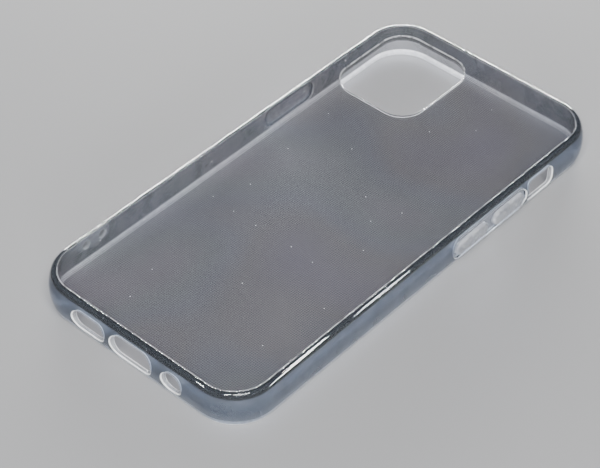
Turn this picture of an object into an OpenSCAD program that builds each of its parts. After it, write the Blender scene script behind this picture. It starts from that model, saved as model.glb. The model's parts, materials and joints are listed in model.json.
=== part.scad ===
// Clear phone case: hard clear back plate held in a soft clear bumper frame,
// with three press-through button pads on thin flexible webs.
// The open side faces down, the back faces up, the camera end is +Y and the
// volume-button side is +X. All sizes are in millimetres.

/* [Phone] */
// Length of the phone the case is made for
phone_l = 146.7; // [122:0.1:176]
// Width of the phone
phone_w = 71.5; // [62:0.1:86]
// Thickness of the phone
phone_t = 7.6; // [7:0.1:9.2]
// Corner radius of the phone, seen from the back
phone_r = 11.2; // [9.5:0.1:13]
// Clearance between the phone and the pocket, on each side
phone_gap = 0.05; // [0:0.05:0.3]

/* [Bumper frame] */
// Thickness of the side wall at its fullest point
wall_t = 1.65; // [1.5:0.05:2.4]
// How far the outside of the wall swells out between its two edges
wall_crown = 1.3; // [0.9:0.05:1.3]
// Height of the front lip that stands up round the screen
lip_h = 1.4; // [1:0.1:2]
// How far the front lip reaches over the edge of the screen
lip_reach = 0.65; // [0.4:0.05:1.2]
// Rounding of the outer edge at the front
front_edge_r = 0.5; // [0.3:0.05:0.6]
// Rounding of the outer edge at the back
back_edge_r = 1.8; // [1:0.05:2]

/* [Back plate] */
// Thickness of the back plate
plate_t = 1.9; // [1.5:0.1:2.4]
// How far the frame stands above the outer face of the plate
plate_drop = 0.2; // [0.1:0.05:0.4]
// Width of frame seen between the side of the case and the plate
shoulder_w = 2.35; // [2.2:0.05:3]
// Thickness of the tongue round the plate that is held in the frame
tongue_t = 1.0; // [0.6:0.1:1.2]
// Bevel on the outer edge of the plate and of the camera opening
plate_bevel = 0.3; // [0.1:0.05:0.4]

/* [Camera opening] */
// Width of the camera opening, across the case
cam_w = 28.2; // [22:0.1:34]
// Length of the camera opening, along the case
cam_l = 31.6; // [22:0.1:36]
// Corner radius of the camera opening
cam_r = 7.6; // [4:0.1:10]
// Distance from the side of the case to the camera opening
cam_side = 6.4; // [5:0.1:9]
// Distance from the top end of the case to the camera opening
cam_top = 6.9; // [5:0.1:9]

/* [Bottom end] */
// Length of the charging port opening
port_l = 14; // [12:0.1:17]
// Height of the charging port opening
port_h = 6.4; // [5.4:0.1:6.6]
// Length of the speaker slot
speaker_l = 11; // [8:0.1:13]
// Length of the microphone slot
mic_l = 6.2; // [5.8:0.1:9]
// Height of the speaker and microphone slots
slot_h = 5.2; // [4.2:0.1:5.6]
// Wall left between the port opening and the speaker slot
speaker_gap = 2.8; // [2:0.1:5]
// Wall left between the port opening and the microphone slot
mic_gap = 4.3; // [2:0.1:6]
// How much wider the openings are at the outside than at the pocket
port_flare = 0.5; // [0.2:0.05:0.6]

/* [Mute switch opening] */
// Length of the switch opening
switch_l = 10.2; // [8:0.1:12.2]
// Height of the switch opening
switch_h = 6.4; // [5:0.1:6.8]
// Distance from the top end of the case to the middle of the opening
switch_top = 28.2; // [22:0.1:34]

/* [Buttons] */
// Length of each volume pad
volume_l = 13.4; // [10:0.1:16.1]
// Gap between the two volume pads
volume_gap = 2.4; // [1:0.1:4]
// Wall left between the switch opening and the recess of the volume pads
switch_gap = 1.2; // [0.8:0.1:3]
// Length of the power pad
power_l = 18.6; // [14:0.1:22.3]
// Distance from the top end of the case to the middle of the power pad
power_top = 50.3; // [40:0.1:60]
// Height of the pads, through the thickness of the case
pad_h = 4.6; // [3.8:0.1:5.2]
// How far the pads stand out from the side of the case
pad_proud = 0.35; // [0.2:0.05:0.5]
// How far a pad can be pressed in
pad_travel = 0.4; // [0.2:0.05:0.45]
// Width of the flexible web round each pad
web_w = 1.15; // [0.8:0.05:1.2]
// Thickness of the flexible web
web_t = 0.4; // [0.3:0.05:0.5]

/* [Lanyard anchor] */
// Length of the channel between the two lanyard holes
lanyard_l = 11.6; // [10:0.1:14]
// Height of the lanyard channel
lanyard_h = 4.6; // [4:0.1:5.6]
// Depth of the lanyard channel
lanyard_d = 0.8; // [0.4:0.05:0.9]
// Diameter of the lanyard holes
hole_d = 2.6; // [2:0.1:3]
// Distance between the two lanyard holes
hole_pitch = 6; // [5:0.1:7]
// Distance from the bottom end of the case to the middle of the anchor
lanyard_bottom = 22.6; // [20:0.1:40]

/* [Hidden] */
$fn = 96;

// Cutting tools run this far past the faces they cut.
over = 1;
// Gap round each pad, so that it slides without rubbing on its web.
pad_gap = 0.15;
// Bevel on the outer edge of each pad.
pad_bevel = 0.45;
// Corner radius of the mute switch opening.
switch_r = 1.4;
// Bevel on the inner edge of the front lip.
lip_bevel = 0.3;
// How far the tongue of the plate reaches past the pocket wall.
tongue_bite = 0.25;
// Height of the lanyard anchor above the middle of the phone, towards the
// back, where the wall is stiffest.
anchor_rise = 1;

pocket_l = phone_l + 2 * phone_gap;
pocket_w = phone_w + 2 * phone_gap;
body_l = pocket_l + 2 * wall_t;
body_w = pocket_w + 2 * wall_t;
body_r = phone_r + phone_gap + wall_t;
pocket_top = lip_h + phone_t + 2 * phone_gap;
body_h = pocket_top + plate_t + plate_drop;
mid_z = lip_h + phone_gap + phone_t / 2;

// The outside of the wall is one arc, struck about a line inside the case.
crown_r = (pow(body_h / 2, 2) + pow(wall_crown, 2)) / (2 * wall_crown);

tongue_in = wall_t - tongue_bite;
plate_top = pocket_top + plate_t;

cam_x = -body_w / 2 + cam_side + cam_w / 2;
cam_y = body_l / 2 - cam_top - cam_l / 2;

speaker_x = -port_l / 2 - speaker_gap - speaker_l / 2;
mic_x = port_l / 2 + mic_gap + mic_l / 2;

web_h = pad_h + 2 * web_w;
volume_pitch = volume_l + volume_gap;
volume_web_l = volume_pitch + volume_l + 2 * web_w;
power_web_l = power_l + 2 * web_w;

switch_y = body_l / 2 - switch_top;
volume_y = switch_y - switch_l / 2 - switch_gap - volume_web_l / 2;
power_y = body_l / 2 - power_top;
lanyard_y = -body_l / 2 + lanyard_bottom;
lanyard_z = mid_z + anchor_rise;

// Depth from the side of the case to the inner face of the web and the pads.
pad_in = wall_t - pad_travel;

// Flat shape with round ends, along X.
module stadium(l, h) {
  square([l - h, h], center = true);
  for (s = [-1, 1])
    translate([s * (l - h) / 2, 0])
      circle(d = h);
}

// Flat rectangle with round corners.
module round_rect(w, l, r) {
  square([w - 2 * r, l], center = true);
  square([w, l - 2 * r], center = true);
  for (sx = [-1, 1], sy = [-1, 1])
    translate([sx * (w / 2 - r), sy * (l / 2 - r)])
      circle(r = r);
}

// Block with round corners that grows by f on every side over its height t.
module flared_rect(w, l, r, t, f) {
  for (sx = [-1, 1], sy = [-1, 1])
    translate([sx * (w / 2 - r), sy * (l / 2 - r), 0])
      cylinder(h = t, r1 = r, r2 = r + f);
  flared_bar(w, l - 2 * r, t, f);
  rotate([0, 0, 90])
    flared_bar(l, w - 2 * r, t, f);
}

// Bar along Y whose width w grows by f on both sides over its height t.
module flared_bar(w, l, t, f) {
  translate([0, l / 2, 0])
    rotate([90, 0, 0])
      linear_extrude(l)
        polygon([[-w / 2, 0], [w / 2, 0], [w / 2 + f, t], [-w / 2 - f, t]]);
}

// Block with round ends along X that grows by f on every side over t.
module flared_stadium(l, h, t, f) {
  for (s = [-1, 1])
    translate([s * (l - h) / 2, 0, 0])
      cylinder(h = t, d1 = h, d2 = h + 2 * f);
  rotate([0, 0, 90])
    flared_bar(h, l - h, t, f);
}

// Turns a shape drawn flat so that its X runs along the case, its Y runs
// up, and its Z runs out through the side wall at +X.
module on_right_side(y, z, depth) {
  translate([body_w / 2 - depth, y, z])
    rotate([90, 0, 90])
      children();
}

// The same, on the side wall at -X.
module on_left_side(y, z, depth) {
  mirror([1, 0, 0])
    on_right_side(y, z, depth)
      children();
}

// The same, on the bottom end wall at -Y.
module on_bottom_end(x, z, depth) {
  translate([x, -body_l / 2 + depth, z])
    rotate([90, 0, 0])
      children();
}

// Takes a wall section, drawn with X as the distance from the centre of a
// case corner, round the whole outline of the case.
module around_case() {
  straight_x = body_w - 2 * body_r;
  straight_y = body_l - 2 * body_r;
  for (turn = [0, 180])
    rotate([0, 0, turn]) {
      translate([straight_x / 2, straight_y / 2, 0])
        rotate_extrude(angle = 90)
          children();
      translate([-straight_x / 2, straight_y / 2, 0])
        rotate([0, 0, 90])
          rotate_extrude(angle = 90)
            children();
      translate([straight_x / 2, straight_y / 2, 0])
        rotate([90, 0, 0])
          linear_extrude(straight_y)
            children();
      translate([-straight_x / 2, straight_y / 2, 0])
        rotate([90, 0, 90])
          linear_extrude(straight_x)
            children();
    }
}

// Distance from the corner centre to the middle of an edge round.
function round_x(r) =
  body_r - crown_r + sqrt(pow(crown_r - r, 2) - pow(body_h / 2 - r, 2));

// Height above the edge at which the edge round meets the crowned side.
function round_z(r) =
  r - r * (body_h / 2 - r) / (crown_r - r);

// Round that blends the crowned side into the front (z = 0) edge, or the
// back edge when the section is turned over.
module edge_round(r) {
  translate([round_x(r), r])
    circle(r = r);
}

// Outline of the wall before the pocket is cut.
module wall_blank() {
  inside = body_r - shoulder_w - over;
  front_z = round_z(front_edge_r);
  back_z = round_z(back_edge_r);
  intersection() {
    translate([body_r - crown_r, body_h / 2])
      circle(r = crown_r, $fn = 360);
    translate([inside, front_z])
      square([body_r, body_h - front_z - back_z]);
  }
  translate([inside, 0])
    square([round_x(front_edge_r) - inside, body_h / 2]);
  translate([inside, body_h / 2])
    square([round_x(back_edge_r) - inside, body_h / 2]);
  edge_round(front_edge_r);
  translate([0, body_h])
    mirror([0, 1])
      edge_round(back_edge_r);
}

// Finished section of the wall, with the lip, pocket and plate groove.
module wall_section() {
  lip_x = body_r - wall_t - lip_reach;
  difference() {
    wall_blank();
    translate([0, lip_h])
      square([body_r - wall_t, pocket_top - lip_h]);
    translate([0, -over])
      square([lip_x, lip_h + 2 * over]);
    polygon([
      [lip_x - over, -over], [lip_x + lip_bevel + over, -over],
      [lip_x + lip_bevel, 0], [lip_x, lip_bevel], [lip_x - over, lip_bevel]
    ]);
    translate([0, pocket_top - over])
      square([body_r - tongue_in, tongue_t + over]);
    translate([0, pocket_top])
      square([body_r - shoulder_w, body_h]);
  }
}

// Opening through the bottom end wall, wider at the outside.
module end_opening(x, l, h) {
  on_bottom_end(x, mid_z, wall_t + over)
    linear_extrude(wall_t + 2 * over)
      stadium(l, h);
  on_bottom_end(x, mid_z, wall_t / 2)
    flared_stadium(l, h, wall_t / 2, port_flare);
}

// Lanyard anchor: two holes with a channel on the outside between them.
module lanyard_cut() {
  on_left_side(lanyard_y, lanyard_z, lanyard_d)
    linear_extrude(lanyard_d + over)
      stadium(lanyard_l, lanyard_h);
  for (s = [-1, 1])
    on_left_side(lanyard_y + s * hole_pitch / 2, lanyard_z, wall_t + over)
      cylinder(h = wall_t + 2 * over, d = hole_d);
}

module bumper_frame() {
  color([0.82, 0.87, 0.93, 0.5])
    difference() {
      around_case()
        wall_section();
      end_opening(0, port_l, port_h);
      end_opening(speaker_x, speaker_l, slot_h);
      end_opening(mic_x, mic_l, slot_h);
      on_right_side(switch_y, mid_z, wall_t + over)
        linear_extrude(wall_t + 2 * over)
          round_rect(switch_l, switch_h, switch_r);
      on_right_side(volume_y, mid_z, wall_t + over)
        linear_extrude(wall_t + 2 * over)
          stadium(volume_web_l, web_h);
      on_left_side(power_y, mid_z, wall_t + over)
        linear_extrude(wall_t + 2 * over)
          stadium(power_web_l, web_h);
      lanyard_cut();
    }
}

module back_plate() {
  plate_w = body_w - 2 * shoulder_w;
  plate_l = body_l - 2 * shoulder_w;
  plate_r = body_r - shoulder_w;
  color([0.88, 0.9, 0.95, 0.45])
    difference() {
      union() {
        translate([0, 0, pocket_top])
          linear_extrude(tongue_t)
            round_rect(
              body_w - 2 * tongue_in, body_l - 2 * tongue_in,
              body_r - tongue_in
            );
        translate([0, 0, pocket_top])
          linear_extrude(plate_t - plate_bevel)
            round_rect(plate_w, plate_l, plate_r);
        translate([0, 0, plate_top])
          mirror([0, 0, 1])
            flared_rect(
              plate_w - 2 * plate_bevel, plate_l - 2 * plate_bevel,
              plate_r - plate_bevel, plate_bevel, plate_bevel
            );
      }
      translate([cam_x, cam_y, pocket_top - over])
        linear_extrude(plate_t + 2 * over)
          round_rect(cam_w, cam_l, cam_r);
      translate([cam_x, cam_y, plate_top - plate_bevel])
        flared_rect(cam_w, cam_l, cam_r, plate_bevel, plate_bevel);
    }
}

// Pad with a bevelled outer edge, drawn flat with its inner face at z = 0.
module pad(l) {
  pad_t = pad_in + pad_proud;
  linear_extrude(pad_t - pad_bevel)
    stadium(l, pad_h);
  translate([0, 0, pad_t])
    mirror([0, 0, 1])
      flared_stadium(
        l - 2 * pad_bevel, pad_h - 2 * pad_bevel, pad_bevel, pad_bevel
      );
}

module volume_up_button() {
  color([0.9, 0.92, 0.95, 0.7])
    on_right_side(volume_y + volume_pitch / 2, mid_z, pad_in)
      pad(volume_l);
}

module volume_down_button() {
  color([0.9, 0.92, 0.95, 0.7])
    on_right_side(volume_y - volume_pitch / 2, mid_z, pad_in)
      pad(volume_l);
}

module power_button() {
  color([0.9, 0.92, 0.95, 0.7])
    on_left_side(power_y, mid_z, pad_in)
      pad(power_l);
}

module volume_button_web() {
  color([0.8, 0.86, 0.93, 0.5])
    on_right_side(volume_y, mid_z, pad_in)
      linear_extrude(web_t)
        difference() {
          stadium(volume_web_l, web_h);
          for (s = [-1, 1])
            translate([s * volume_pitch / 2, 0])
              stadium(volume_l + 2 * pad_gap, pad_h + 2 * pad_gap);
        }
}

module power_button_web() {
  color([0.8, 0.86, 0.93, 0.5])
    on_left_side(power_y, mid_z, pad_in)
      linear_extrude(web_t)
        difference() {
          stadium(power_web_l, web_h);
          stadium(power_l + 2 * pad_gap, pad_h + 2 * pad_gap);
        }
}

back_plate();
bumper_frame();
power_button();
power_button_web();
volume_up_button();
volume_down_button();
volume_button_web();
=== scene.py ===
"""Looks of a clear phone case: a hard clear back plate with a fine matt dot pattern on its
inner face, a soft clear bumper frame with matt cut-outs, and frosted button pads on thin
webs. The milky white on the edge roundings, the lip and the rims of the openings is partly
matt plastic and partly painted highlight, the faint white on the seam is a painted light
line, and the milky share of the pocket walls is partly textured moulding and partly painted
light. Shapes are worked out in millimetres, and made in metres."""
import json
import math

import bmesh
import bpy
import numpy as np
from mathutils import Matrix, Vector


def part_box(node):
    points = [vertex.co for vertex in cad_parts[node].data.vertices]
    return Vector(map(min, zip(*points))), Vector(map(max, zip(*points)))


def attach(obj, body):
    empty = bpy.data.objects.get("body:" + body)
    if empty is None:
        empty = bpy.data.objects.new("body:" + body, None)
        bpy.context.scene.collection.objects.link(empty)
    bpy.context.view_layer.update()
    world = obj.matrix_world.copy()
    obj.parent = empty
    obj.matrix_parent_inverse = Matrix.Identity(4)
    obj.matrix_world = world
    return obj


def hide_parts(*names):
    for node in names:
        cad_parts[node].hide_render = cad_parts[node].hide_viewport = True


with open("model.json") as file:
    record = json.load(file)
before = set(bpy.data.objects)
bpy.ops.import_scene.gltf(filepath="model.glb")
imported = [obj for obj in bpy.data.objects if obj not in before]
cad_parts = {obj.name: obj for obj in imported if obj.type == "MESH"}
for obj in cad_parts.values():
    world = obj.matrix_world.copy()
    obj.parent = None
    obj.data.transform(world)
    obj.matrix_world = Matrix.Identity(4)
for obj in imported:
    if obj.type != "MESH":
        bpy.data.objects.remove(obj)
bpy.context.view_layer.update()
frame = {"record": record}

MM = 0.001

# ---------------------------------------------------------------- sizes, in millimetres
low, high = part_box("bumper_frame")
BODY_W, BODY_L, BODY_H = (high - low) / MM
OPENINGS = {o["name"]: o["box_m"] for o in frame["record"]["physics"]["openings"]}
MOUNTS = {m["name"]: m for m in frame["record"]["mounts"]}

# The case: radius of its corners, wall, how far the wall's outside bulges, and its edges.
BODY_R = 12.9
WALL = 1.65
CROWN = 1.3
CROWN_R = ((BODY_H / 2) ** 2 + CROWN ** 2) / (2 * CROWN)
FRONT_R = 0.5
BACK_R = 1.8
LIP_H = 1.4
LIP_REACH = 0.65
LIP_R = 0.4
POCKET_TOP = 9.1
POCKET_R = 0.3
# Heights of the rings that divide the tall inner face of the wall.
WALL_RINGS = (6.3, 3.9)

# The plate, and the shoulder and groove that hold it.
PLATE_TOP = 11.0
PLATE_EDGE_R = 0.3
SHOULDER = 2.35
SHOULDER_R = 0.15
TONGUE_IN = 1.4
TONGUE_T = 1.0
SEAM_GAP = 0.015

# Openings: length and height, then corner radius where they aren't stadiums.
END_OPENINGS = {
    "charging_port_opening": (14.0, 6.4),
    "speaker_slot": (11.0, 5.2),
    "microphone_slot": (6.2, 5.2),
}
END_FLARE = 0.3
SWITCH, SWITCH_R, SWITCH_FLARE = (10.2, 6.4), 1.4, 0.15
CAMERA, CAMERA_R = (28.2, 31.6), 7.6
ANCHOR, ANCHOR_DEPTH = (11.6, 4.6), 0.8
HOLE_D = 2.6
# Radii of their rims, outside and inside.
OPENING_RIMS = (0.35, 0.25)
RECESS_RIMS = (0.3, 0.15)
ANCHOR_RIMS = (0.3, 0.3)
CAMERA_RIMS = (0.35, 0.2)
HOLE_RIM = 0.15
# A stadium's end radius is this much under half its height, so that no points double up.
STADIUM_EASE = 0.001
# Share of the wall at which an opening's flare ends.
THROAT = 0.55
# How far a cutter reaches past the faces it cuts through, and past the crowned outside.
CUT_PAST = 1.0
CUT_OUTSIDE = 1.5
# Bands of a small concave rounding.
FILLET_STEPS = 4

# Buttons: edge and dome of a pad, gap round it, and rounding where a web meets the frame.
PAD_EDGE_R = 0.55
PAD_DOME = 0.12
# Where a pad's edge rounding hands over to its dome, in degrees, and the shares of the way
# to its middle at which the dome has rings.
PAD_EDGE_END = 84
PAD_DOME_RINGS = (0.25, 0.5, 0.75, 0.97)
# How far the points of a pad's soft inner edge grow, and their height.
PAD_HEEL = ((-0.12, 0.0), (-0.03, 0.04), (0.0, 0.13))
PAD_GAP = 0.15
WEB_FILLET = 0.35

# Material slots of every lofted piece. RIM's milky white is partly matt plastic and partly
# painted highlight along the edges, BOND's faint white is a painted light line at the seam,
# and INNER's milky share is partly textured moulding and partly painted light.
CLEAR, RIM, BOND, INNER = range(4)

# Points closer than this become one. Edges sharper than the angle, in degrees, stay sharp.
MERGE = 1e-5
SHARP_ANGLE = 40
NORMAL_WEIGHT = 60


def box_middle(box):
    """Middle of a box, given by its two corners in metres, in millimetres."""
    return [(a + b) / 2 / MM for a, b in zip(*box)]


# ---------------------------------------------------------------- shapes
def outline(w, h, r, grow=0.0, corner_steps=10, step=0.8):
    """Points round a w by h rectangle with corners of radius r, grown by grow."""
    points = []
    cx, cy = w / 2 - r, h / 2 - r
    centres = ((cx, cy), (-cx, cy), (-cx, -cy), (cx, -cy))
    for quadrant, (x, y) in enumerate(centres):
        for k in range(corner_steps + 1):
            angle = math.radians(90 * (quadrant + k / corner_steps))
            points.append((x + (r + grow) * math.cos(angle), y + (r + grow) * math.sin(angle)))
        next_x, next_y = centres[(quadrant + 1) % 4]
        run_x, run_y = next_x - x, next_y - y
        pieces = max(1, round(math.hypot(run_x, run_y) / step))
        last = points[-1]
        for k in range(1, pieces):
            points.append((last[0] + run_x * k / pieces, last[1] + run_y * k / pieces))
    return np.array(points)


def case_path(step=3.0, corner_steps=28):
    """Round the case: the centre that each point is measured from, and the way outwards."""
    cx, cy = BODY_W / 2 - BODY_R, BODY_L / 2 - BODY_R
    centres = [Vector((cx, cy)), Vector((-cx, cy)), Vector((-cx, -cy)), Vector((cx, -cy))]
    points = []
    for quadrant, centre in enumerate(centres):
        for k in range(corner_steps + 1):
            angle = math.radians(90 * (quadrant + k / corner_steps))
            points.append((centre, Vector((math.cos(angle), math.sin(angle)))))
        following = centres[(quadrant + 1) % 4]
        pieces = max(1, round((following - centre).length / step))
        for k in range(1, pieces):
            points.append((centre.lerp(following, k / pieces), points[-1][1]))
    return points


def round_case(d, z):
    """Loop round the case at distance d from the centres of its corners, at height z."""
    return np.array([(*(centre + way * d), z) for centre, way in PATH])


def arc(centre, r, start, end, steps):
    """Points on an arc, angles in degrees."""
    angles = np.radians(np.linspace(start, end, steps + 1))
    return [(centre[0] + r * math.cos(a), centre[1] + r * math.sin(a)) for a in angles]


def loft(rings, slots, closed=False):
    """Skin over rings of points. slots gives the material slot of each band, then of the
    two end caps where the loft isn't closed."""
    n = len(rings[0])
    verts = np.concatenate(rings)
    faces, marks = [], []
    bands = len(rings) if closed else len(rings) - 1
    for i in range(bands):
        a, b = i * n, (i + 1) % len(rings) * n
        for j in range(n):
            k = (j + 1) % n
            faces.append((a + j, a + k, b + k, b + j))
            marks.append(slots[i])
    if not closed:
        faces += [tuple(range(n)), tuple(range(len(verts) - n, len(verts)))]
        marks += [slots[-2], slots[-1]]
    return verts, faces, marks


def join(lofts):
    """Several lofts as one."""
    verts, faces, marks, start = [], [], [], 0
    for more_verts, more_faces, more_marks in lofts:
        verts.append(more_verts)
        faces += [tuple(start + i for i in face) for face in more_faces]
        marks += more_marks
        start += len(more_verts)
    return np.concatenate(verts), faces, marks


def add_object(name, shape, materials):
    """Object of a loft, in millimetres, with its faces turned outwards."""
    verts, faces, marks = shape
    mesh = bpy.data.meshes.new(name)
    mesh.from_pydata(verts.tolist(), [], faces)
    mesh.polygons.foreach_set("material_index", marks)
    bm = bmesh.new()
    bm.from_mesh(mesh)
    bmesh.ops.remove_doubles(bm, verts=bm.verts, dist=MERGE)
    bmesh.ops.recalc_face_normals(bm, faces=bm.faces)
    bm.to_mesh(mesh)
    bm.free()
    for material in materials:
        mesh.materials.append(material)
    obj = bpy.data.objects.new(name, mesh)
    bpy.context.collection.objects.link(obj)
    return obj


def bake_modifiers(obj):
    """Puts the result of obj's modifiers in its mesh."""
    bpy.context.view_layer.update()
    graph = bpy.context.evaluated_depsgraph_get()
    mesh = bpy.data.meshes.new_from_object(obj.evaluated_get(graph))
    obj.modifiers.clear()
    obj.data = mesh


def cut(obj, *shapes):
    """Takes the shapes, which don't overlap, out of obj."""
    tool = add_object("cutter", join(shapes), obj.data.materials)
    modifier = obj.modifiers.new("cut", "BOOLEAN")
    modifier.operation = "DIFFERENCE"
    modifier.solver = "EXACT"
    modifier.material_mode = "INDEX"
    modifier.object = tool
    bake_modifiers(obj)
    bpy.data.objects.remove(tool)


def finish_piece(obj, body, slot, *nodes):
    """Brings obj to metres, shades it smooth over its roundings, and puts it on its body."""
    obj.data.transform(Matrix.Scale(MM, 4))
    obj.data.shade_smooth()
    obj.data.set_sharp_from_angle(angle=math.radians(SHARP_ANGLE))
    modifier = obj.modifiers.new("normals", "WEIGHTED_NORMAL")
    modifier.mode = "FACE_AREA"
    modifier.keep_sharp = True
    modifier.weight = NORMAL_WEIGHT
    bake_modifiers(obj)
    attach(obj, body)
    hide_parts(*nodes)
    return obj


def on_right(y, z):
    """Places flat points (u along the case, v up, depth from the side) on the +X wall."""
    return lambda u, v, depth: (BODY_W / 2 - depth, y + u, z + v)


def on_left(y, z):
    """The same on the -X wall."""
    return lambda u, v, depth: (depth - BODY_W / 2, y + u, z + v)


def on_bottom(x, z):
    """The same on the -Y wall."""
    return lambda u, v, depth: (x + u, depth - BODY_L / 2, z + v)


def on_back(x, y):
    """The same on the back plate."""
    return lambda u, v, depth: (x + u, y + v, PLATE_TOP - depth)


def over_node(node, side):
    """Size of a node, in millimetres, and the placing on its side of flat points round it."""
    corner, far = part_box(node)
    place = side((corner.y + far.y) / 2 / MM, (corner.z + far.z) / 2 / MM)
    return (far - corner) / MM, place


def depths_of(node):
    """Depths of a node's outer and inner faces from the widest line of the wall."""
    corner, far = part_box(node)
    outer, inner = (pick(abs(corner.x), abs(far.x)) / MM for pick in (max, min))
    return BODY_W / 2 - outer, BODY_W / 2 - inner


def sag(z):
    """How far the crowned outside of the wall lies inside its widest line, at height z."""
    return CROWN_R - math.sqrt(CROWN_R ** 2 - (z - BODY_H / 2) ** 2)


def quarter(r, steps=5, short=12.0):
    """(offset, depth) pairs of a quarter round of radius r. It starts short degrees in,
    because a cutter can't cut where it only grazes the surface."""
    angles = np.radians(np.linspace(short, 90.0, steps + 1))
    return [(r * (1 - math.sin(a)), r * (1 - math.cos(a))) for a in angles]


def fillet(r):
    """(inset, height) pairs of a quarter round in the corner between a side and a floor."""
    angles = np.radians(np.linspace(0.0, 90.0, FILLET_STEPS + 1))
    return [(r * (1 - math.cos(a)), r * (1 - math.sin(a))) for a in angles]


def wall_cutter(place, size, r, rims, flare=0.0, floor=None):
    """Cutter for an opening through a wall, with rounded rims. It follows the crowned
    outside. With floor, it is a recess of that depth."""
    outer_r, inner_r = rims
    rings = []

    def ring(grow, depth, from_outside):
        points = []
        for u, v in outline(*size, r, grow):
            z = place(u, v, 0.0)[2]
            points.append(place(u, v, depth + (sag(z) if from_outside else 0.0)))
        rings.append(np.array(points))

    # The rim roundings, outside and inside, are milky white: matt cut faces, and painted highlight
    # along the rim lines.
    rim = quarter(outer_r)
    ring(flare + rim[0][0], -CUT_OUTSIDE, True)
    for offset, depth in rim:
        ring(flare + offset, depth, True)
    slots = [RIM] * len(rim)
    if floor is None:
        ring(0.0, WALL * THROAT, False)
        for offset, depth in reversed(quarter(inner_r)):
            ring(offset, WALL - depth, False)
        ring(quarter(inner_r)[0][0], WALL + CUT_PAST, False)
        slots += [INNER, INNER] + [RIM] * len(rim)
    else:
        for rounding, rise in fillet(inner_r):
            ring(-rounding, floor - rise, False)
        slots += [INNER] + [RIM] * FILLET_STEPS
    return loft(rings, slots + [RIM, INNER])


def stadium_cutter(place, size, rims, **kwargs):
    """Cutter for an opening with fully round ends."""
    return wall_cutter(place, size, size[1] / 2 - STADIUM_EASE, rims, **kwargs)


def rings_of(place, size, r, steps, **kwargs):
    """Rings round a rectangle of that size, one for each (grow, depth) of steps."""
    return [
        np.array([place(u, v, depth) for u, v in outline(*size, r, grow, **kwargs)])
        for grow, depth in steps
    ]


def hole_cutter(place, d, start, r):
    """Cutter for a round hole that starts at depth start and goes through to the pocket."""
    steps = [(quarter(r)[0][0], start - CUT_PAST)]
    steps += [(offset, start + depth) for offset, depth in quarter(r)]
    steps += [(offset, WALL - depth) for offset, depth in reversed(quarter(r))]
    steps += [(quarter(r)[0][0], WALL + CUT_PAST)]
    return loft(rings_of(place, (d, d), d / 2, steps), [RIM] * (len(steps) + 1))


# ---------------------------------------------------------------- materials
TPU_IOR = 1.5
PC_IOR = 1.57
GLOSS = 0.015
WAVE_DEPTH = 0.004

# What the soft plastic takes out of the light: its colour, and its density per metre.
NAVY = ((0.42, 0.48, 0.58), 560.0)

# The plate's inner face, in millimetres. Edges are the distances, in pitches, between
# which a dot or a speck fades out, and shares are those of matt plastic.
DOT_PITCH = 0.62
DOT_EDGE = (0.26, 0.40)
DOT_SHARES = (0.36, 0.60)
DOT_RELIEF = 0.002
HAZE_PATCH = 26.0
HAZE_UNEVEN = 0.03
HAZE_ROUGHNESS = 0.04
SPECK_PITCH = 10.0
SPECK_EDGE = (0.008, 0.015)
# Of the points that could be specks, those whose random value is past this are.
SPECK_CHOSEN = (0.60, 0.62)
RAINBOW_BAND = 42.0
HAZE_CLEAR = (0.31, 0.31, 0.33)
HAZE_MATT = (0.03, 0.03, 0.033)
DUST = (0.9, 0.9, 0.9)
RAINBOW = (
    (0.30, (1.0, 0.94, 0.96)),
    (0.42, (0.93, 1.0, 0.95)),
    (0.50, (0.92, 0.96, 1.0)),
    (0.58, (1.0, 0.98, 0.92)),
    (0.70, (0.97, 0.93, 1.0)),
)
# Faint white painted on the bonded faces: painted light that draws a soft light line at the seam.
SEAM_LIGHT_COLOUR = (0.9, 0.92, 0.95)
SEAM_LIGHT_ALPHA = 0.06


def new_material(name):
    """Material with an empty node tree, and its nodes and links."""
    material = bpy.data.materials.new(name)
    material.use_nodes = True
    nodes = material.node_tree.nodes
    nodes.clear()
    return material, nodes, material.node_tree.links


def plastic(nodes, colour, roughness, ior, transmission):
    """Plain plastic shader."""
    shader = nodes.new("ShaderNodeBsdfPrincipled")
    shader.inputs["Base Color"].default_value = (*colour, 1.0)
    shader.inputs["Roughness"].default_value = roughness
    shader.inputs["IOR"].default_value = ior
    shader.inputs["Transmission Weight"].default_value = transmission
    return shader


def matt(nodes, colour):
    """The part of a milky plastic that scatters light."""
    shader = plastic(nodes, colour, 0.8, TPU_IOR, 0.0)
    shader.inputs["Specular IOR Level"].default_value = 0.0
    return shader


def let_lamps_through(nodes, links, shader, colour, inside=None):
    """Ends a material: its shader, which lamps shine through with that tint. inside is the
    colour and the density, per metre, of what the solid takes out of the light."""
    through = nodes.new("ShaderNodeBsdfTransparent")
    through.inputs["Color"].default_value = (*colour, 1.0)
    path = nodes.new("ShaderNodeLightPath")
    mix = nodes.new("ShaderNodeMixShader")
    out = nodes.new("ShaderNodeOutputMaterial")
    links.new(path.outputs["Is Shadow Ray"], mix.inputs[0])
    links.new(shader, mix.inputs[1])
    links.new(through.outputs[0], mix.inputs[2])
    links.new(mix.outputs[0], out.inputs["Surface"])
    add_depth(nodes, links, out, inside)


def add_depth(nodes, links, out, inside):
    """Darkens a solid with its depth."""
    if inside is None:
        return
    absorb = nodes.new("ShaderNodeVolumeAbsorption")
    absorb.inputs["Color"].default_value = (*inside[0], 1.0)
    absorb.inputs["Density"].default_value = inside[1]
    links.new(absorb.outputs[0], out.inputs["Volume"])


def in_millimetres(nodes, links):
    """Place on the piece, in millimetres."""
    coordinates = nodes.new("ShaderNodeTexCoord")
    scale = nodes.new("ShaderNodeVectorMath")
    scale.operation = "SCALE"
    scale.inputs["Scale"].default_value = 1 / MM
    links.new(coordinates.outputs["Object"], scale.inputs[0])
    return scale.outputs[0]


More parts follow.
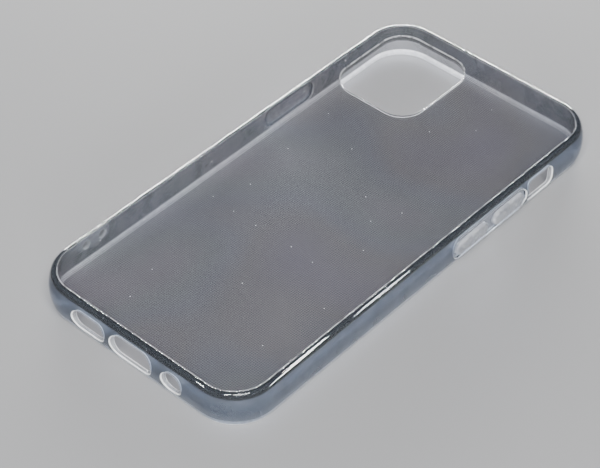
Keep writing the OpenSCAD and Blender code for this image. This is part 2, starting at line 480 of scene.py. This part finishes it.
def noise(nodes, links, place, size, detail=2.0):
    """Soft noise with features of that size, in millimetres."""
    texture = nodes.new("ShaderNodeTexNoise")
    texture.inputs["Scale"].default_value = 1 / size
    texture.inputs["Detail"].default_value = detail
    links.new(place, texture.inputs["Vector"])
    return texture.outputs["Fac"]


def add_bump(nodes, links, height, depth, *shaders):
    """Relief of depth millimetres on the shaders."""
    bump = nodes.new("ShaderNodeBump")
    bump.inputs["Strength"].default_value = 1.0
    bump.inputs["Distance"].default_value = depth * MM
    links.new(height, bump.inputs["Height"])
    for shader in shaders:
        links.new(bump.outputs[0], shader.inputs["Normal"])


def spread(nodes, links, value, from_low, from_high, to_low, to_high):
    """Maps a value from one range to another, and keeps it there."""
    ranged = nodes.new("ShaderNodeMapRange")
    names = ("From Min", "From Max", "To Min", "To Max")
    for name, number in zip(names, (from_low, from_high, to_low, to_high)):
        ranged.inputs[name].default_value = number
    links.new(value, ranged.inputs["Value"])
    return ranged.outputs[0]


def calculate(nodes, links, operation, first, second):
    """Two values, or a value and a number, put together."""
    node = nodes.new("ShaderNodeMath")
    node.operation = operation
    for socket, value in zip(node.inputs, (first, second)):
        if isinstance(value, (int, float)):
            socket.default_value = value
        else:
            links.new(value, socket)
    return node.outputs[0]


def clear_plastic(name, colour, ior, shadow, inside=None, wave=12.0):
    """Clear plastic, with the slight unevenness that moulding leaves. wave is the size of
    its waves, and shadow the tint of the light that goes through."""
    material, nodes, links = new_material(name)
    shader = plastic(nodes, colour, GLOSS, ior, 1.0)
    place = in_millimetres(nodes, links)
    add_bump(nodes, links, noise(nodes, links, place, wave), WAVE_DEPTH, shader)
    let_lamps_through(nodes, links, shader.outputs[0], shadow, inside)
    return material


def milky(
    name, colour, share, roughness, ior, tint, shadow, inside=None,
    grain=0.25, depth=0.02, mottle=0.08,
):
    """Plastic with a fine matt grain, of which a share scatters light in its colour and the
    rest is clear with its tint. The share varies by mottle from patch to patch."""
    material, nodes, links = new_material(name)
    clear_part = plastic(nodes, tint, roughness, ior, 1.0)
    matt_part = matt(nodes, colour)
    mix = nodes.new("ShaderNodeMixShader")
    place = in_millimetres(nodes, links)
    patches = noise(nodes, links, place, grain * 5, 3.0)
    links.new(spread(nodes, links, patches, 0.35, 0.65, share - mottle, share + mottle), mix.inputs[0])
    add_bump(nodes, links, noise(nodes, links, place, grain), depth, clear_part, matt_part)
    links.new(clear_part.outputs[0], mix.inputs[1])
    links.new(matt_part.outputs[0], mix.inputs[2])
    let_lamps_through(nodes, links, mix.outputs[0], shadow, inside)
    return material


def cells(nodes, links, place, pitch, randomness):
    """Distance from the nearest of a field of points, in pitches, and a value for each."""
    texture = nodes.new("ShaderNodeTexVoronoi")
    texture.voronoi_dimensions = "2D"
    texture.inputs["Scale"].default_value = 1 / pitch
    texture.inputs["Randomness"].default_value = randomness
    links.new(place, texture.inputs["Vector"])
    return texture.outputs["Distance"], texture.outputs["Color"]


def tinted(nodes, links, hue, colour):
    """A colour that drifts faintly round the rainbow."""
    mix = nodes.new("ShaderNodeMix")
    mix.data_type = "RGBA"
    mix.blend_type = "MULTIPLY"
    mix.inputs["Factor"].default_value = 1.0
    mix.inputs["A"].default_value = (*colour, 1.0)
    links.new(hue, mix.inputs["B"])
    return mix.outputs["Result"]


def dust_specks(nodes, links, place):
    """1 on a few scattered specks, and 0 elsewhere."""
    distance, kind = cells(nodes, links, place, SPECK_PITCH, 1.0)
    near = spread(nodes, links, distance, *SPECK_EDGE, 1.0, 0.0)
    chosen = spread(nodes, links, kind, *SPECK_CHOSEN, 0.0, 1.0)
    return calculate(nodes, links, "MULTIPLY", near, chosen)


def rainbow(nodes, links, place):
    """Faint colours in broad, soft bands."""
    ramp = nodes.new("ShaderNodeValToRGB")
    while len(ramp.color_ramp.elements) < len(RAINBOW):
        ramp.color_ramp.elements.new(0.5)
    for element, (position, colour) in zip(ramp.color_ramp.elements, RAINBOW):
        element.position = position
        element.color = (*colour, 1.0)
    links.new(noise(nodes, links, place, RAINBOW_BAND, 1.0), ramp.inputs[0])
    return ramp.outputs[0]


def dotted_haze(name, ior, shadow):
    """Inner face of the back plate: a field of fine matt dots on clear plastic, with the
    faint rainbow that moulded stress gives it, and a few specks of dust."""
    material, nodes, links = new_material(name)
    place = in_millimetres(nodes, links)
    distance, _ = cells(nodes, links, place, DOT_PITCH, 0.0)
    dots = spread(nodes, links, distance, *DOT_EDGE, 1.0, 0.0)
    share = spread(nodes, links, dots, 0.0, 1.0, *DOT_SHARES)
    patches = noise(nodes, links, place, HAZE_PATCH, 2.0)
    uneven = spread(nodes, links, patches, 0.3, 0.7, -HAZE_UNEVEN, HAZE_UNEVEN)
    share = calculate(nodes, links, "ADD", share, uneven)
    speck = dust_specks(nodes, links, place)
    share = calculate(nodes, links, "MAXIMUM", share, speck)
    hue = rainbow(nodes, links, place)

    clear_part = plastic(nodes, HAZE_CLEAR, HAZE_ROUGHNESS, ior, 1.0)
    links.new(tinted(nodes, links, hue, HAZE_CLEAR), clear_part.inputs["Base Color"])
    matt_part = matt(nodes, HAZE_MATT)
    dusty = nodes.new("ShaderNodeMix")
    dusty.data_type = "RGBA"
    links.new(speck, dusty.inputs["Factor"])
    links.new(tinted(nodes, links, hue, HAZE_MATT), dusty.inputs["A"])
    dusty.inputs["B"].default_value = (*DUST, 1.0)
    links.new(dusty.outputs["Result"], matt_part.inputs["Base Color"])
    add_bump(nodes, links, dots, DOT_RELIEF, clear_part, matt_part)
    mix = nodes.new("ShaderNodeMixShader")
    links.new(share, mix.inputs[0])
    links.new(clear_part.outputs[0], mix.inputs[1])
    links.new(matt_part.outputs[0], mix.inputs[2])
    let_lamps_through(nodes, links, mix.outputs[0], shadow)
    return material


def bonded(name, inside=None):
    """Faces where two plastics are moulded together: all but unseen, with a faint white that
    is painted light, so that the seam shows as a soft light line.
    """
    material, nodes, links = new_material(name)
    out = nodes.new("ShaderNodeOutputMaterial")
    shader = plastic(nodes, SEAM_LIGHT_COLOUR, 0.9, TPU_IOR, 0.0)
    shader.inputs["Alpha"].default_value = SEAM_LIGHT_ALPHA
    links.new(shader.outputs[0], out.inputs["Surface"])
    add_depth(nodes, links, out, inside)
    return material


# ---------------------------------------------------------------- pieces
PATH = case_path()

TPU = clear_plastic("tpu_clear", (0.88, 0.92, 0.96), TPU_IOR, (0.96, 0.97, 0.98), NAVY)
# Milky white of the edge roundings, the lip and the rims of the openings: partly matt cut faces,
# partly painted highlight that draws their bright lines.
TPU_RIM_FROST_AND_HIGHLIGHT = milky(
    "tpu_rim_frost_and_highlight", (0.95, 0.96, 0.97), share=0.8, roughness=0.25, ior=TPU_IOR,
    tint=(0.95, 0.97, 1.0), shadow=(0.9, 0.91, 0.93), inside=NAVY,
)
# Milky share of the pocket walls and the throats of the openings: partly textured moulding, partly
# painted light that brightens the far wall as a reflected lamp would.
TPU_INNER_MILK_AND_LIGHT = milky(
    "tpu_inner_milk_and_light", (0.9, 0.92, 0.96), share=0.27, roughness=0.03, ior=TPU_IOR,
    tint=(0.97, 0.98, 1.0), shadow=(0.96, 0.97, 0.98), inside=NAVY,
    grain=1.0, depth=0.002, mottle=0.02,
)
# The bonded faces carry a faint white: painted light that draws the seam as a soft light line.
SEAM = bonded("seam", NAVY)
SEAM_PC = bonded("seam_pc")
PC = clear_plastic("pc_clear", (0.93, 0.93, 0.96), PC_IOR, (0.92, 0.92, 0.94), wave=30.0)
# Milky grey of the plate's edge rounding and the camera opening's rims: partly matt plastic, partly
# painted highlight that draws their light lines.
PC_RIM_FROST_AND_HIGHLIGHT = milky(
    "pc_rim_frost_and_highlight", (0.8, 0.81, 0.84), share=0.3, roughness=0.15, ior=PC_IOR,
    tint=(0.95, 0.96, 1.0), shadow=(0.85, 0.86, 0.9), grain=0.5, depth=0.004, mottle=0.04,
)
HAZE = dotted_haze("pc_haze", PC_IOR, (0.72, 0.72, 0.76))
FROST = milky(
    "tpu_frosted", (0.42, 0.43, 0.45), share=0.55, roughness=0.3, ior=TPU_IOR,
    tint=(0.8, 0.82, 0.86), shadow=(0.75, 0.77, 0.8), inside=NAVY,
    grain=0.2, depth=0.06, mottle=0.3,
)


def edge_middle(r, z):
    """Middle of an edge rounding of radius r, at height z, that runs into the crown."""
    run = math.sqrt((CROWN_R - r) ** 2 - (BODY_H / 2 - r) ** 2)
    return (BODY_R - CROWN_R + run, z)


def wall_section():
    """(distance, height, slot) points of the wall's section, from the front face outwards,
    up the outside, over the shoulder, down the groove and the pocket, and round the lip.
    The slot is that of the band from a point to the next."""
    crown_middle = (BODY_R - CROWN_R, BODY_H / 2)

    def angle_to(point):
        return math.degrees(math.atan2(point[1] - crown_middle[1], point[0] - crown_middle[0]))

    front = edge_middle(FRONT_R, FRONT_R)
    back = edge_middle(BACK_R, BODY_H - BACK_R)
    front_angle, back_angle = angle_to(front), angle_to(back)
    pocket_d = BODY_R - WALL
    lip_d = pocket_d - LIP_REACH
    plate_d = BODY_R - SHOULDER
    tongue_d = BODY_R - TONGUE_IN
    groove_top = POCKET_TOP + TONGUE_T
    section = []

    def add(points, slot):
        section.extend((*p, slot) for p in points)

    # The front edge rounding and the foot of the side are milky white: painted highlight that draws
    # the light line along the bottom edge.
    add(arc(front, FRONT_R, -90, front_angle, 6)[:-1], RIM)
    side = arc(crown_middle, CROWN_R, front_angle, back_angle, 26)[:-1]
    add(side[:1], RIM)
    add(side[1:], CLEAR)
    shoulder_angle = math.degrees(math.acos((plate_d + SHOULDER_R - back[0]) / BACK_R))
    add(arc(back, BACK_R, back_angle, shoulder_angle, 12), CLEAR)
    shoulder_middle = (plate_d + SHOULDER_R, section[-1][1] - SHOULDER_R)
    shoulder = arc(shoulder_middle, SHOULDER_R, 90, 180, 3)[1:]
    add(shoulder[:-1], CLEAR)
    add(shoulder[-1:], BOND)
    add([(plate_d, groove_top), (tongue_d, groove_top), (tongue_d, POCKET_TOP)], BOND)
    add([(pocket_d, z) for z in (POCKET_TOP, *WALL_RINGS)], INNER)
    # The pocket's rounding and the lip are milky white: painted highlight that draws the light line
    # along the lip.
    add(arc((pocket_d - POCKET_R, LIP_H + POCKET_R), POCKET_R, 0, -90, 4), RIM)
    add(arc((lip_d + LIP_R, LIP_H - LIP_R), LIP_R, 90, 180, 4), RIM)
    add(arc((lip_d + LIP_R, LIP_R), LIP_R, 180, 270, 4)[:-1], RIM)
    add([(lip_d + LIP_R, 0.0)], CLEAR)
    return section


def frame_cutters(anchor):
    """Cutters for everything in the frame but the lanyard holes."""
    mid_z = box_middle(OPENINGS["charging_port_opening"])[2]
    cutters = []
    for name, size in END_OPENINGS.items():
        place = on_bottom(box_middle(OPENINGS[name])[0], mid_z)
        cutters.append(stadium_cutter(place, size, OPENING_RIMS, flare=END_FLARE))
    place = on_right(box_middle(OPENINGS["mute_switch_opening"])[1], mid_z)
    cutters.append(wall_cutter(place, SWITCH, SWITCH_R, OPENING_RIMS, flare=SWITCH_FLARE))
    for node, side in (("volume_button_web", on_right), ("power_button_web", on_left)):
        size, place = over_node(node, side)
        cutters.append(stadium_cutter(place, size[1:], RECESS_RIMS))
    cutters.append(stadium_cutter(anchor, ANCHOR, ANCHOR_RIMS, floor=ANCHOR_DEPTH))
    return cutters


def make_frame():
    """Bumper frame: its wall section swept round the case, less the openings."""
    section = wall_section()
    rings = [round_case(d, z) for d, z, _ in section]
    slots = [slot for _, _, slot in section]
    materials = [TPU, TPU_RIM_FROST_AND_HIGHLIGHT, SEAM, TPU_INNER_MILK_AND_LIGHT]
    obj = add_object("case_frame", loft(rings, slots, closed=True), materials)

    holes = [MOUNTS[name]["pos_m"] for name in ("lanyard_hole_upper", "lanyard_hole_lower")]
    anchor_y = sum(hole[1] for hole in holes) / 2 / MM
    anchor_z = holes[0][2] / MM
    cut(obj, *frame_cutters(on_left(anchor_y, anchor_z)))
    places = [on_left(hole[1] / MM, anchor_z) for hole in holes]
    cut(obj, *(hole_cutter(place, HOLE_D, ANCHOR_DEPTH, HOLE_RIM) for place in places))
    return finish_piece(obj, "shell", "soft_clear", "bumper_frame")


def make_plate():
    """Back plate, with its tongue in the frame and the camera opening."""
    tongue_d = BODY_R - TONGUE_IN - SEAM_GAP
    plate_d = BODY_R - SHOULDER - SEAM_GAP
    tongue_top = POCKET_TOP + TONGUE_T - SEAM_GAP
    bottom = POCKET_TOP + SEAM_GAP
    section = [(BODY_R - WALL, bottom), (tongue_d, bottom)]
    section += [(tongue_d, tongue_top), (plate_d, tongue_top)]
    slots = [BOND] * len(section)
    edge_centre = (plate_d - PLATE_EDGE_R, PLATE_TOP - PLATE_EDGE_R)
    rounding = arc(edge_centre, PLATE_EDGE_R, 0, 90, 5)
    section += rounding
    # The plate's edge rounding is milky: painted highlight that draws the light line where the plate
    # meets the shoulder, with some matt plastic.
    slots += [RIM] * (len(rounding) - 1)
    shape = loft([round_case(d, z) for d, z in section], slots + [INNER, CLEAR])
    obj = add_object("case_plate", shape, [PC, PC_RIM_FROST_AND_HIGHLIGHT, SEAM_PC, HAZE])

    x, y, _ = box_middle(OPENINGS["camera_opening"])
    thickness = PLATE_TOP - bottom
    outer, inner = (quarter(r) for r in CAMERA_RIMS)
    steps = [(outer[0][0], -CUT_PAST)] + outer
    steps += [(offset, thickness - depth) for offset, depth in reversed(inner)]
    steps += [(inner[0][0], thickness + CUT_PAST)]
    rings = rings_of(on_back(x, y), CAMERA, CAMERA_R, steps, corner_steps=16, step=3.0)
    # The camera opening's rim roundings are milky: partly matt plastic, partly painted highlight along
    # their lines.
    slots = [RIM] * len(outer) + [CLEAR] + [RIM] * len(inner)
    cut(obj, loft(rings, slots + [RIM, RIM]))
    return finish_piece(obj, "shell", "hard_clear", "back_plate")


def make_pad(name, body, side):
    """Button pad: a stadium with a domed, soft-edged outer face."""
    (_, l, h), place = over_node(name, side)
    top, bottom = depths_of(name)
    edge_depth = top + PAD_DOME + PAD_EDGE_R
    steps = [(grow, bottom - height) for grow, height in PAD_HEEL]
    steps.append((0.0, edge_depth))
    for angle in np.radians(np.linspace(0, PAD_EDGE_END, 7))[1:]:
        steps.append((PAD_EDGE_R * (math.cos(angle) - 1), edge_depth - PAD_EDGE_R * math.sin(angle)))
    rim_grow, rim_depth = steps[-1]
    for share in PAD_DOME_RINGS:
        rise = math.sin(share * math.pi / 2)
        grow = rim_grow + (-h / 2 - rim_grow) * share
        steps.append((grow, rim_depth + (top - rim_depth) * rise))
    rings = rings_of(place, (l, h), h / 2, steps)
    shape = loft(rings, [CLEAR] * (len(rings) + 1))
    obj = add_object("pad_" + name.replace("_button", ""), shape, [FROST])
    return finish_piece(obj, body, "soft_frosted", name)


def pad_cutter(pad, side, depth_in, depth_out):
    """Cutter through a web for a pad, with the gap round it."""
    (_, l, h), place = over_node(pad, side)
    steps = [(PAD_GAP, depth_in + CUT_PAST), (PAD_GAP, depth_out - CUT_PAST)]
    return loft(rings_of(place, (l, h), h / 2, steps), [CLEAR] * 3)


def make_web(name, side, pads):
    """Thin web that joins the pads to the frame, thicker where it meets the frame."""
    (_, l, h), place = over_node(name, side)
    depth_out, depth_in = depths_of(name)
    steps = [(-SEAM_GAP, depth_in)]
    steps += [(-SEAM_GAP - inset, depth_out - rise) for inset, rise in fillet(WEB_FILLET)]
    rings = rings_of(place, (l, h), h / 2, steps)
    shape = loft(rings, [CLEAR] * (len(rings) + 1))
    obj = add_object("web_" + name.split("_")[0], shape, [TPU, TPU_RIM_FROST_AND_HIGHLIGHT])
    cut(obj, *(pad_cutter(pad, side, depth_in, depth_out) for pad in pads))
    return finish_piece(obj, "shell", "soft_clear", name)


make_frame()
make_plate()
make_pad("power_button", "power_pad", on_left)
make_pad("volume_up_button", "volume_up_pad", on_right)
make_pad("volume_down_button", "volume_down_pad", on_right)
make_web("power_button_web", on_left, ["power_button"])
make_web("volume_button_web", on_right, ["volume_up_button", "volume_down_button"])


# ---------------------------------------------------------------- camera, lights and floor
CAMERA_AZIMUTH = 41.52
CAMERA_ELEVATION = 43.21
CAMERA_ROLL = 0.5
CAMERA_DISTANCE = 567.2 * MM
CAMERA_AIM = Vector((-3.67, -6.48, -2.58)) * MM
CAMERA_LENS = 124.5
SENSOR_WIDTH = 36.0
LAMP_AIM = Vector((0.0, 0.0, 5.0)) * MM
FLOOR_SIZE = 6.0
FLOOR_COLOUR = (0.29, 0.29, 0.295)
FLOOR_ROUGHNESS = 0.55
WORLD_COLOUR = (0.5, 0.54, 0.62)
WORLD_STRENGTH = 0.12


def direction(azimuth, elevation):
    """Unit vector from the object towards a point at that azimuth and elevation."""
    az, el = math.radians(azimuth), math.radians(elevation)
    return Vector((math.sin(az) * math.cos(el), -math.cos(az) * math.cos(el), math.sin(el)))


def look(obj, place, aim, roll=0.0):
    """Puts obj at place with its -Z axis on aim."""
    obj.location = place
    turn = (aim - place).to_track_quat("-Z", "Y")
    obj.rotation_mode = "QUATERNION"
    obj.rotation_quaternion = turn @ Matrix.Rotation(math.radians(roll), 4, "Z").to_quaternion()


def add_camera():
    """Camera at the photograph's angle."""
    data = bpy.data.cameras.new("camera")
    data.lens = CAMERA_LENS
    data.sensor_width = SENSOR_WIDTH
    data.clip_start = 0.01
    camera = bpy.data.objects.new("camera", data)
    bpy.context.collection.objects.link(camera)
    place = CAMERA_AIM + CAMERA_DISTANCE * direction(CAMERA_AZIMUTH, CAMERA_ELEVATION)
    look(camera, place, CAMERA_AIM, CAMERA_ROLL)
    bpy.context.scene.camera = camera


def add_softbox(name, azimuth, elevation, distance, size, power, roll=0.0):
    """Rectangular area light that faces the middle of the case. Its size is in metres. It
    doesn't show through clear plastic, because lamps already shine through that."""
    data = bpy.data.lights.new(name, "AREA")
    data.shape = "RECTANGLE"
    data.size, data.size_y = size
    data.energy = power
    light = bpy.data.objects.new(name, data)
    bpy.context.collection.objects.link(light)
    look(light, direction(azimuth, elevation) * distance, LAMP_AIM, roll)
    light.visible_transmission = False
    return light


def add_panel(*args, **kwargs):
    """Bright panel that only shows as a highlight on the gloss of the case."""
    add_softbox(*args, **kwargs).visible_diffuse = False


def add_floor():
    """Plain pale floor under the case."""
    bpy.ops.mesh.primitive_plane_add(size=FLOOR_SIZE, location=(0.0, 0.0, 0.0))
    floor = bpy.context.object
    floor.name = "floor"
    material, nodes, links = new_material("floor")
    out = nodes.new("ShaderNodeOutputMaterial")
    shader = nodes.new("ShaderNodeBsdfPrincipled")
    shader.inputs["Base Color"].default_value = (*FLOOR_COLOUR, 1.0)
    shader.inputs["Roughness"].default_value = FLOOR_ROUGHNESS
    links.new(shader.outputs[0], out.inputs["Surface"])
    floor.data.materials.append(material)


def set_world():
    """Dim, cool light from all round."""
    world = bpy.data.worlds.new("studio")
    bpy.context.scene.world = world
    world.use_nodes = True
    background = world.node_tree.nodes["Background"]
    background.inputs["Color"].default_value = (*WORLD_COLOUR, 1.0)
    background.inputs["Strength"].default_value = WORLD_STRENGTH


add_camera()
set_world()
add_floor()
add_softbox("softbox_key_left", 19.0, 57.0, 1.0, size=(0.09, 0.45), power=6.5)
add_softbox("softbox_key_right", 57.0, 60.0, 1.0, size=(0.4, 0.42), power=12.0)
front_lamp = add_softbox("softbox_front", 41.0, 12.0, 0.9, size=(0.5, 0.12), power=8.0)
# Seen from behind, it would mirror in the plate as a white sheet.
front_lamp.visible_glossy = False
add_panel("panel_right_near", 123.0, 34.0, 0.8, size=(0.03, 0.5), power=5.0, roll=-25.0)
add_panel("panel_right_far", 128.5, 33.0, 0.8, size=(0.04, 0.3), power=2.2, roll=-25.0)
add_panel("panel_left", 329.5, 35.5, 0.8, size=(0.02, 0.4), power=2.0, roll=25.0)
add_panel("panel_back", 222.0, 6.5, 0.9, size=(0.9, 0.1), power=42.0)
